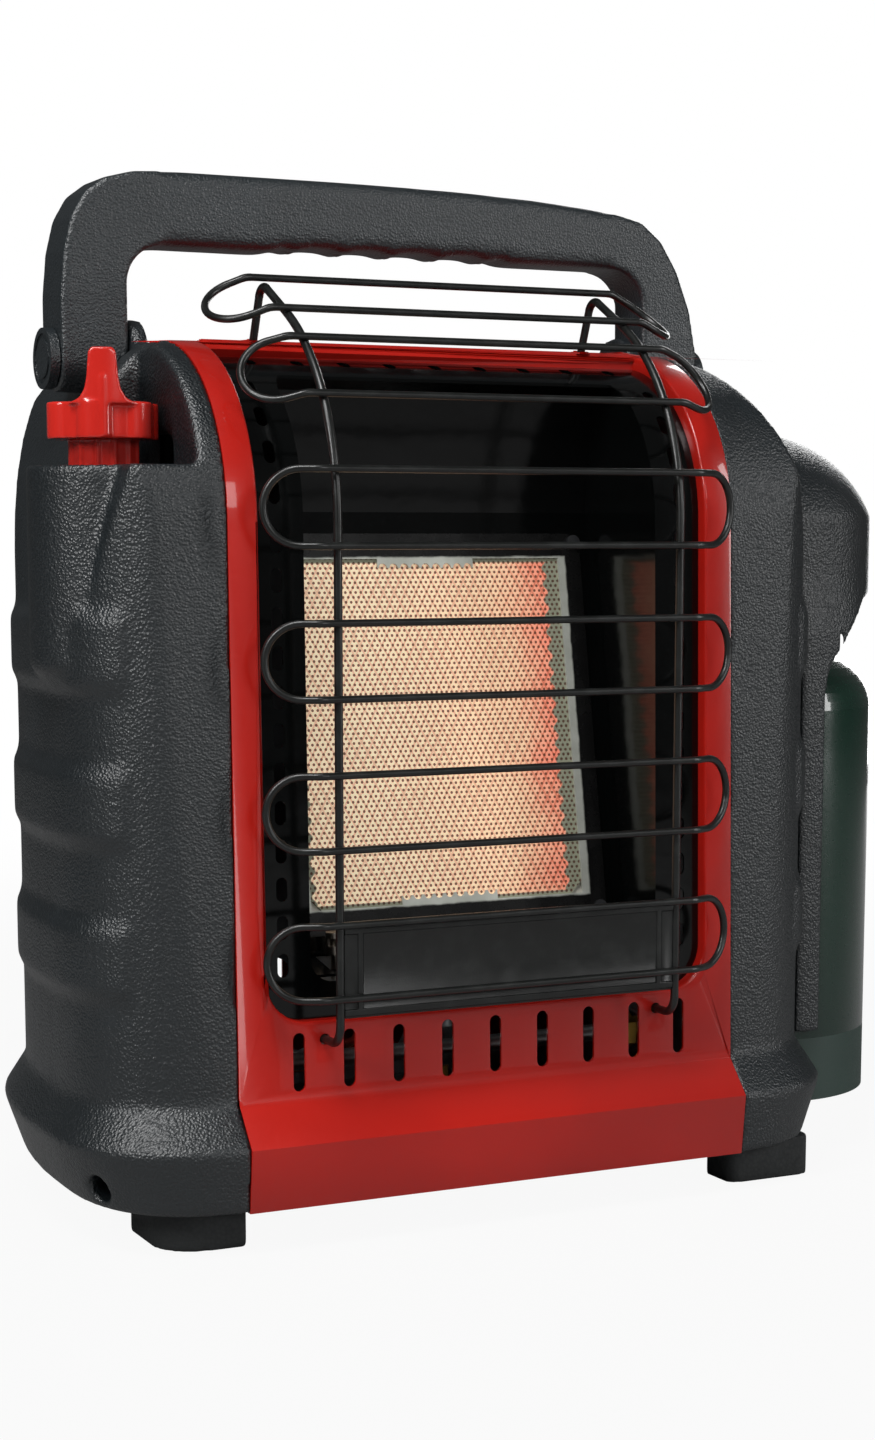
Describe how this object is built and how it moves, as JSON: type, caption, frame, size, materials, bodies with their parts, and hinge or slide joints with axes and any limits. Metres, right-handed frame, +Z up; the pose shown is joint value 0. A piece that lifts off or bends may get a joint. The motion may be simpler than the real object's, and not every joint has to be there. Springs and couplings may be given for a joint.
{
  "type": "portable gas heater",
  "caption": "Portable radiant gas heater with a red steel casing, black side housings, wire guard, folding carrying handle, push-and-turn knob and a swivelling screw-on gas cylinder.",
  "frame": {"origin": "on the floor plane, under the centre of the whole object's box", "axes": "+X to the right seen from the front, where the gas cylinder is; +Y to the back; +Z up"},
  "size_m": [0.3618, 0.1948, 0.382],
  "materials": {
    "red_sheet": "gloss",
    "black_moulding": "grained",
    "handle_moulding": "grained",
    "foot_rubber": "matt",
    "zinc_steel": "satin",
    "black_enamel": "gloss",
    "burner_ceramic": "matt",
    "retainer_steel": "satin",
    "gasket_fibre": "matt",
    "cast_metal": "cast",
    "tube_aluminium": "drawn",
    "brass_part": "machined",
    "electrode_ceramic": "glazed",
    "chrome_part": "polished",
    "lead_sleeve": "matt",
    "copper_lead": "drawn",
    "switch_plastic": "moulded",
    "knob_red": "gloss",
    "black_wire": "satin",
    "screw_steel": "plated",
    "cylinder_paint": "gloss",
    "ring_plastic": "satin",
    "seal_rubber": "matt"
  },
  "bodies": {
    "heater": {"front_panel": "red_sheet", "rear_cover": "red_sheet", "left_side_plate": "zinc_steel", "right_side_plate": "zinc_steel", "base_pan": "zinc_steel", "left_housing": "black_moulding", "right_housing": "black_moulding", "regulator_hood": "black_moulding", "feet": "foot_rubber", "mouth_surround": "black_enamel", "reflector": "black_enamel", "ceramic_tile": "burner_ceramic", "tile_retainer": "retainer_steel", "tile_gasket": "gasket_fibre", "burner_plenum": "zinc_steel", "mixer_tube": "zinc_steel", "orifice": "brass_part", "orifice_bracket": "zinc_steel", "pilot_bracket": "zinc_steel", "pilot_burner": "chrome_part", "igniter_electrode": "electrode_ceramic", "thermocouple": "chrome_part", "igniter_lead": "lead_sleeve", "thermocouple_lead": "copper_lead", "pilot_tube": "tube_aluminium", "manifold_tube": "tube_aluminium", "supply_tube": "tube_aluminium", "union_nut": "brass_part", "tip_switch": "switch_plastic", "valve_bracket": "zinc_steel", "gas_valve": "cast_metal", "igniter_body": "switch_plastic", "handle_pins": "handle_moulding", "wire_guard": "black_wire", "guard_plate": "black_wire", "swivel_bracket": "zinc_steel", "swivel_post": "brass_part", "swivel_nut": "brass_part", "retainer_screws": "screw_steel", "cover_screws": "screw_steel", "base_screws": "screw_steel"},
    "handle": {"handle": "handle_moulding"},
    "valve_rotor": {"valve_rotor": "brass_part"},
    "knob": {"control_knob": "knob_red", "valve_stem": "zinc_steel"},
    "regulator": {"regulator_body": "cast_metal", "regulator_cap": "cast_metal", "regulator_inlet": "brass_part", "regulator_screws": "screw_steel"},
    "neck_seal": {"neck_seal": "seal_rubber"},
    "cylinder": {"gas_cylinder": "cylinder_paint", "cylinder_neck": "zinc_steel", "cylinder_foot_ring": "ring_plastic"}
  },
  "joints": [
    {"name": "handle_fold", "type": "hinge", "parent": "heater", "child": "handle", "pos_m": [-0.0229, 0.01438, 0.314], "axis": [-1, 0, 0], "range_deg": [0, 58]},
    {"name": "knob_turn", "type": "hinge", "parent": "heater", "child": "valve_rotor", "pos_m": [-0.1539, -0.03463, 0.25], "axis": [0, 0, 1], "range_deg": [0, 180]},
    {"name": "knob_push", "type": "slide", "parent": "valve_rotor", "child": "knob", "axis": [0, 0, -1], "range_m": [0, 0.004], "stiffness_N_per_m": 800, "springref_m": -0.004},
    {"name": "regulator_swing", "type": "hinge", "parent": "heater", "child": "regulator", "pos_m": [0.0891, 0.03138, 0.242], "axis": [0, 0, 1], "range_deg": [0, 75]},
    {"name": "cylinder_sink", "type": "slide", "parent": "regulator", "child": "neck_seal", "axis": [0, 0, -1], "range_m": [0, 0.00765]},
    {"name": "cylinder_unscrew", "type": "hinge", "parent": "neck_seal", "child": "cylinder", "pos_m": [0.1316, -0.00722, 0.2], "axis": [0, 0, -1], "range_deg": [0, 2160]}
  ],
  "couplings": [
    {"joint": "cylinder_sink", "follows": "cylinder_unscrew", "m_per_rad": 0.00020213}
  ]
}
